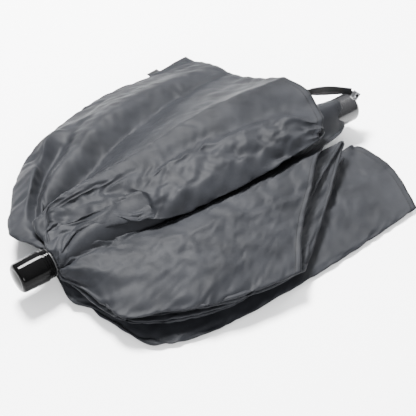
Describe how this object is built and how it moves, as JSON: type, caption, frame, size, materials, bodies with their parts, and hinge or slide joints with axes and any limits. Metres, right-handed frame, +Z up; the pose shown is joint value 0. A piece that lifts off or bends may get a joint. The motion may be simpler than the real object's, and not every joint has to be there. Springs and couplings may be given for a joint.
{
  "type": "umbrella reflector",
  "caption": "Folded compact studio umbrella: domed crown cap, loosely gathered black cloth over a folding ribbed frame, telescoping shaft, round handle with a wrist strap.",
  "frame": {"origin": "on the flat underside of the folded cloth, where it rests, under the shaft and midway along the cloth", "axes": "+Z up, +X along the shaft from the crown to the handle, +Y towards the wider back flaps"},
  "size_m": [0.3869, 0.3175, 0.0671],
  "materials": {
    "gloss_plastic_parts": "polished black moulding",
    "moulded_nylon": "satin black nylon",
    "black_tube": "black enamel on steel",
    "plated_tube": "bright nickel plate",
    "zinc_hardware": "zinc plated steel",
    "rib_steel": "black coated spring steel",
    "lug_plate": "brushed nickel, edges worn",
    "black_cloth": "thin black nylon with a satin sheen",
    "webbing": "woven black webbing"
  },
  "bodies": {
    "crown_and_cloth": {"crown_cap": "gloss_plastic_parts", "crown_screw": "zinc_hardware", "cap_collar": "gloss_plastic_parts", "crown_notch": "moulded_nylon", "notch_wire": "zinc_hardware", "cloth_washer": "moulded_nylon", "top_tube": "black_tube", "top_bush": "moulded_nylon", "canopy": "black_cloth", "tie_strap": "webbing"},
    "runner": {"runner": "moulded_nylon", "runner_wire": "zinc_hardware"},
    "mid_shaft": {"mid_tube": "plated_tube", "mid_bush": "moulded_nylon", "mid_catch": "zinc_hardware"},
    "handle_shaft": {"lower_tube": "plated_tube", "lower_catch": "zinc_hardware", "handle_grip": "gloss_plastic_parts", "handle_core": "moulded_nylon", "handle_cap": "gloss_plastic_parts", "handle_screw": "zinc_hardware", "strap_lug": "lug_plate", "wrist_strap": "webbing"},
    "inner_rib_1": {"inner_rib_1": "rib_steel"},
    "stretcher_1": {"stretcher_1": "rib_steel"},
    "middle_rib_1": {"middle_rib_1": "rib_steel"},
    "outer_rib_1": {"outer_rib_1": "rib_steel"},
    "inner_rib_2": {"inner_rib_2": "rib_steel"},
    "stretcher_2": {"stretcher_2": "rib_steel"},
    "middle_rib_2": {"middle_rib_2": "rib_steel"},
    "outer_rib_2": {"outer_rib_2": "rib_steel"},
    "inner_rib_3": {"inner_rib_3": "rib_steel"},
    "stretcher_3": {"stretcher_3": "rib_steel"},
    "middle_rib_3": {"middle_rib_3": "rib_steel"},
    "outer_rib_3": {"outer_rib_3": "rib_steel"},
    "inner_rib_4": {"inner_rib_4": "rib_steel"},
    "stretcher_4": {"stretcher_4": "rib_steel"},
    "middle_rib_4": {"middle_rib_4": "rib_steel"},
    "outer_rib_4": {"outer_rib_4": "rib_steel"},
    "inner_rib_5": {"inner_rib_5": "rib_steel"},
    "stretcher_5": {"stretcher_5": "rib_steel"},
    "middle_rib_5": {"middle_rib_5": "rib_steel"},
    "outer_rib_5": {"outer_rib_5": "rib_steel"},
    "inner_rib_6": {"inner_rib_6": "rib_steel"},
    "stretcher_6": {"stretcher_6": "rib_steel"},
    "middle_rib_6": {"middle_rib_6": "rib_steel"},
    "outer_rib_6": {"outer_rib_6": "rib_steel"},
    "inner_rib_7": {"inner_rib_7": "rib_steel"},
    "stretcher_7": {"stretcher_7": "rib_steel"},
    "middle_rib_7": {"middle_rib_7": "rib_steel"},
    "outer_rib_7": {"outer_rib_7": "rib_steel"},
    "inner_rib_8": {"inner_rib_8": "rib_steel"},
    "stretcher_8": {"stretcher_8": "rib_steel"},
    "middle_rib_8": {"middle_rib_8": "rib_steel"},
    "outer_rib_8": {"outer_rib_8": "rib_steel"}
  },
  "joints": [
    {"name": "runner_slide", "type": "slide", "parent": "crown_and_cloth", "child": "runner", "axis": [1, 0, 0], "range_m": [-0.0015, 0]},
    {"name": "mid_shaft_slide", "type": "slide", "parent": "crown_and_cloth", "child": "mid_shaft", "axis": [1, 0, 0], "range_m": [0, 0.17]},
    {"name": "handle_shaft_slide", "type": "slide", "parent": "mid_shaft", "child": "handle_shaft", "axis": [1, 0, 0], "range_m": [0, 0.17]},
    {"name": "inner_rib_1_hinge", "type": "hinge", "parent": "crown_and_cloth", "child": "inner_rib_1", "pos_m": [-0.162, 0.00721, 0.02898], "axis": [0, -0.3827, 0.9239], "range_deg": [0, 1.21]},
    {"name": "stretcher_1_hinge", "type": "hinge", "parent": "inner_rib_1", "child": "stretcher_1", "pos_m": [-0.052, 0.0092, 0.02981], "axis": [0, -0.3827, 0.9239], "range_deg": [-2.41, 0]},
    {"name": "middle_rib_1_elbow", "type": "hinge", "parent": "inner_rib_1", "child": "middle_rib_1", "pos_m": [0.07795, 0.01155, 0.03078], "axis": [0, -0.3827, 0.9239], "range_deg": [-1.21, 0]},
    {"name": "outer_rib_1_knee", "type": "hinge", "parent": "middle_rib_1", "child": "outer_rib_1", "pos_m": [-0.03205, 0.01247, 0.03117], "axis": [0, -0.3827, 0.9239], "range_deg": [0, 1.21]},
    {"name": "inner_rib_2_hinge", "type": "hinge", "parent": "crown_and_cloth", "child": "inner_rib_2", "pos_m": [-0.162, 0.00298, 0.03321], "axis": [0, -0.9239, 0.3827], "range_deg": [0, 1.21]},
    {"name": "stretcher_2_hinge", "type": "hinge", "parent": "inner_rib_2", "child": "stretcher_2", "pos_m": [-0.052, 0.00381, 0.0352], "axis": [0, -0.9239, 0.3827], "range_deg": [-2.41, 0]},
    {"name": "middle_rib_2_elbow", "type": "hinge", "parent": "inner_rib_2", "child": "middle_rib_2", "pos_m": [0.07795, 0.00478, 0.03755], "axis": [0, -0.9239, 0.3827], "range_deg": [-1.21, 0]},
    {"name": "outer_rib_2_knee", "type": "hinge", "parent": "middle_rib_2", "child": "outer_rib_2", "pos_m": [-0.03205, 0.00517, 0.03847], "axis": [0, -0.9239, 0.3827], "range_deg": [0, 1.21]},
    {"name": "inner_rib_3_hinge", "type": "hinge", "parent": "crown_and_cloth", "child": "inner_rib_3", "pos_m": [-0.162, -0.00298, 0.03321], "axis": [0, -0.9239, -0.3827], "range_deg": [0, 1.21]},
    {"name": "stretcher_3_hinge", "type": "hinge", "parent": "inner_rib_3", "child": "stretcher_3", "pos_m": [-0.052, -0.00381, 0.0352], "axis": [0, -0.9239, -0.3827], "range_deg": [-2.41, 0]},
    {"name": "middle_rib_3_elbow", "type": "hinge", "parent": "inner_rib_3", "child": "middle_rib_3", "pos_m": [0.07795, -0.00478, 0.03755], "axis": [0, -0.9239, -0.3827], "range_deg": [-1.21, 0]},
    {"name": "outer_rib_3_knee", "type": "hinge", "parent": "middle_rib_3", "child": "outer_rib_3", "pos_m": [-0.03205, -0.00517, 0.03847], "axis": [0, -0.9239, -0.3827], "range_deg": [0, 1.21]},
    {"name": "inner_rib_4_hinge", "type": "hinge", "parent": "crown_and_cloth", "child": "inner_rib_4", "pos_m": [-0.162, -0.00721, 0.02898], "axis": [0, -0.3827, -0.9239], "range_deg": [0, 1.21]},
    {"name": "stretcher_4_hinge", "type": "hinge", "parent": "inner_rib_4", "child": "stretcher_4", "pos_m": [-0.052, -0.0092, 0.02981], "axis": [0, -0.3827, -0.9239], "range_deg": [-2.41, 0]},
    {"name": "middle_rib_4_elbow", "type": "hinge", "parent": "inner_rib_4", "child": "middle_rib_4", "pos_m": [0.07795, -0.01155, 0.03078], "axis": [0, -0.3827, -0.9239], "range_deg": [-1.21, 0]},
    {"name": "outer_rib_4_knee", "type": "hinge", "parent": "middle_rib_4", "child": "outer_rib_4", "pos_m": [-0.03205, -0.01247, 0.03117], "axis": [0, -0.3827, -0.9239], "range_deg": [0, 1.21]},
    {"name": "inner_rib_5_hinge", "type": "hinge", "parent": "crown_and_cloth", "child": "inner_rib_5", "pos_m": [-0.162, -0.00721, 0.02302], "axis": [0, 0.3827, -0.9239], "range_deg": [0, 1.21]},
    {"name": "stretcher_5_hinge", "type": "hinge", "parent": "inner_rib_5", "child": "stretcher_5", "pos_m": [-0.052, -0.0092, 0.02219], "axis": [0, 0.3827, -0.9239], "range_deg": [-2.41, 0]},
    {"name": "middle_rib_5_elbow", "type": "hinge", "parent": "inner_rib_5", "child": "middle_rib_5", "pos_m": [0.07795, -0.01155, 0.02122], "axis": [0, 0.3827, -0.9239], "range_deg": [-1.21, 0]},
    {"name": "outer_rib_5_knee", "type": "hinge", "parent": "middle_rib_5", "child": "outer_rib_5", "pos_m": [-0.03205, -0.01247, 0.02083], "axis": [0, 0.3827, -0.9239], "range_deg": [0, 1.21]},
    {"name": "inner_rib_6_hinge", "type": "hinge", "parent": "crown_and_cloth", "child": "inner_rib_6", "pos_m": [-0.162, -0.00298, 0.01879], "axis": [0, 0.9239, -0.3827], "range_deg": [0, 1.21]},
    {"name": "stretcher_6_hinge", "type": "hinge", "parent": "inner_rib_6", "child": "stretcher_6", "pos_m": [-0.052, -0.00381, 0.0168], "axis": [0, 0.9239, -0.3827], "range_deg": [-2.41, 0]},
    {"name": "middle_rib_6_elbow", "type": "hinge", "parent": "inner_rib_6", "child": "middle_rib_6", "pos_m": [0.07795, -0.00478, 0.01445], "axis": [0, 0.9239, -0.3827], "range_deg": [-1.21, 0]},
    {"name": "outer_rib_6_knee", "type": "hinge", "parent": "middle_rib_6", "child": "outer_rib_6", "pos_m": [-0.03205, -0.00517, 0.01353], "axis": [0, 0.9239, -0.3827], "range_deg": [0, 1.21]},
    {"name": "inner_rib_7_hinge", "type": "hinge", "parent": "crown_and_cloth", "child": "inner_rib_7", "pos_m": [-0.162, 0.00298, 0.01879], "axis": [0, 0.9239, 0.3827], "range_deg": [0, 1.21]},
    {"name": "stretcher_7_hinge", "type": "hinge", "parent": "inner_rib_7", "child": "stretcher_7", "pos_m": [-0.052, 0.00381, 0.0168], "axis": [0, 0.9239, 0.3827], "range_deg": [-2.41, 0]},
    {"name": "middle_rib_7_elbow", "type": "hinge", "parent": "inner_rib_7", "child": "middle_rib_7", "pos_m": [0.07795, 0.00478, 0.01445], "axis": [0, 0.9239, 0.3827], "range_deg": [-1.21, 0]},
    {"name": "outer_rib_7_knee", "type": "hinge", "parent": "middle_rib_7", "child": "outer_rib_7", "pos_m": [-0.03205, 0.00517, 0.01353], "axis": [0, 0.9239, 0.3827], "range_deg": [0, 1.21]},
    {"name": "inner_rib_8_hinge", "type": "hinge", "parent": "crown_and_cloth", "child": "inner_rib_8", "pos_m": [-0.162, 0.00721, 0.02302], "axis": [0, 0.3827, 0.9239], "range_deg": [0, 1.21]},
    {"name": "stretcher_8_hinge", "type": "hinge", "parent": "inner_rib_8", "child": "stretcher_8", "pos_m": [-0.052, 0.0092, 0.02219], "axis": [0, 0.3827, 0.9239], "range_deg": [-2.41, 0]},
    {"name": "middle_rib_8_elbow", "type": "hinge", "parent": "inner_rib_8", "child": "middle_rib_8", "pos_m": [0.07795, 0.01155, 0.02122], "axis": [0, 0.3827, 0.9239], "range_deg": [-1.21, 0]},
    {"name": "outer_rib_8_knee", "type": "hinge", "parent": "middle_rib_8", "child": "outer_rib_8", "pos_m": [-0.03205, 0.01247, 0.02083], "axis": [0, 0.3827, 0.9239], "range_deg": [0, 1.21]}
  ],
  "couplings": [
    {"joint": "inner_rib_1_hinge", "follows": "runner_slide", "rad_per_m": -13.963},
    {"joint": "stretcher_1_hinge", "follows": "runner_slide", "rad_per_m": 27.925},
    {"joint": "middle_rib_1_elbow", "follows": "runner_slide", "rad_per_m": 13.963},
    {"joint": "outer_rib_1_knee", "follows": "runner_slide", "rad_per_m": -13.963},
    {"joint": "inner_rib_2_hinge", "follows": "runner_slide", "rad_per_m": -13.963},
    {"joint": "stretcher_2_hinge", "follows": "runner_slide", "rad_per_m": 27.925},
    {"joint": "middle_rib_2_elbow", "follows": "runner_slide", "rad_per_m": 13.963},
    {"joint": "outer_rib_2_knee", "follows": "runner_slide", "rad_per_m": -13.963},
    {"joint": "inner_rib_3_hinge", "follows": "runner_slide", "rad_per_m": -13.963},
    {"joint": "stretcher_3_hinge", "follows": "runner_slide", "rad_per_m": 27.925},
    {"joint": "middle_rib_3_elbow", "follows": "runner_slide", "rad_per_m": 13.963},
    {"joint": "outer_rib_3_knee", "follows": "runner_slide", "rad_per_m": -13.963},
    {"joint": "inner_rib_4_hinge", "follows": "runner_slide", "rad_per_m": -13.963},
    {"joint": "stretcher_4_hinge", "follows": "runner_slide", "rad_per_m": 27.925},
    {"joint": "middle_rib_4_elbow", "follows": "runner_slide", "rad_per_m": 13.963},
    {"joint": "outer_rib_4_knee", "follows": "runner_slide", "rad_per_m": -13.963},
    {"joint": "inner_rib_5_hinge", "follows": "runner_slide", "rad_per_m": -13.963},
    {"joint": "stretcher_5_hinge", "follows": "runner_slide", "rad_per_m": 27.925},
    {"joint": "middle_rib_5_elbow", "follows": "runner_slide", "rad_per_m": 13.963},
    {"joint": "outer_rib_5_knee", "follows": "runner_slide", "rad_per_m": -13.963},
    {"joint": "inner_rib_6_hinge", "follows": "runner_slide", "rad_per_m": -13.963},
    {"joint": "stretcher_6_hinge", "follows": "runner_slide", "rad_per_m": 27.925},
    {"joint": "middle_rib_6_elbow", "follows": "runner_slide", "rad_per_m": 13.963},
    {"joint": "outer_rib_6_knee", "follows": "runner_slide", "rad_per_m": -13.963},
    {"joint": "inner_rib_7_hinge", "follows": "runner_slide", "rad_per_m": -13.963},
    {"joint": "stretcher_7_hinge", "follows": "runner_slide", "rad_per_m": 27.925},
    {"joint": "middle_rib_7_elbow", "follows": "runner_slide", "rad_per_m": 13.963},
    {"joint": "outer_rib_7_knee", "follows": "runner_slide", "rad_per_m": -13.963},
    {"joint": "inner_rib_8_hinge", "follows": "runner_slide", "rad_per_m": -13.963},
    {"joint": "stretcher_8_hinge", "follows": "runner_slide", "rad_per_m": 27.925},
    {"joint": "middle_rib_8_elbow", "follows": "runner_slide", "rad_per_m": 13.963},
    {"joint": "outer_rib_8_knee", "follows": "runner_slide", "rad_per_m": -13.963}
  ]
}
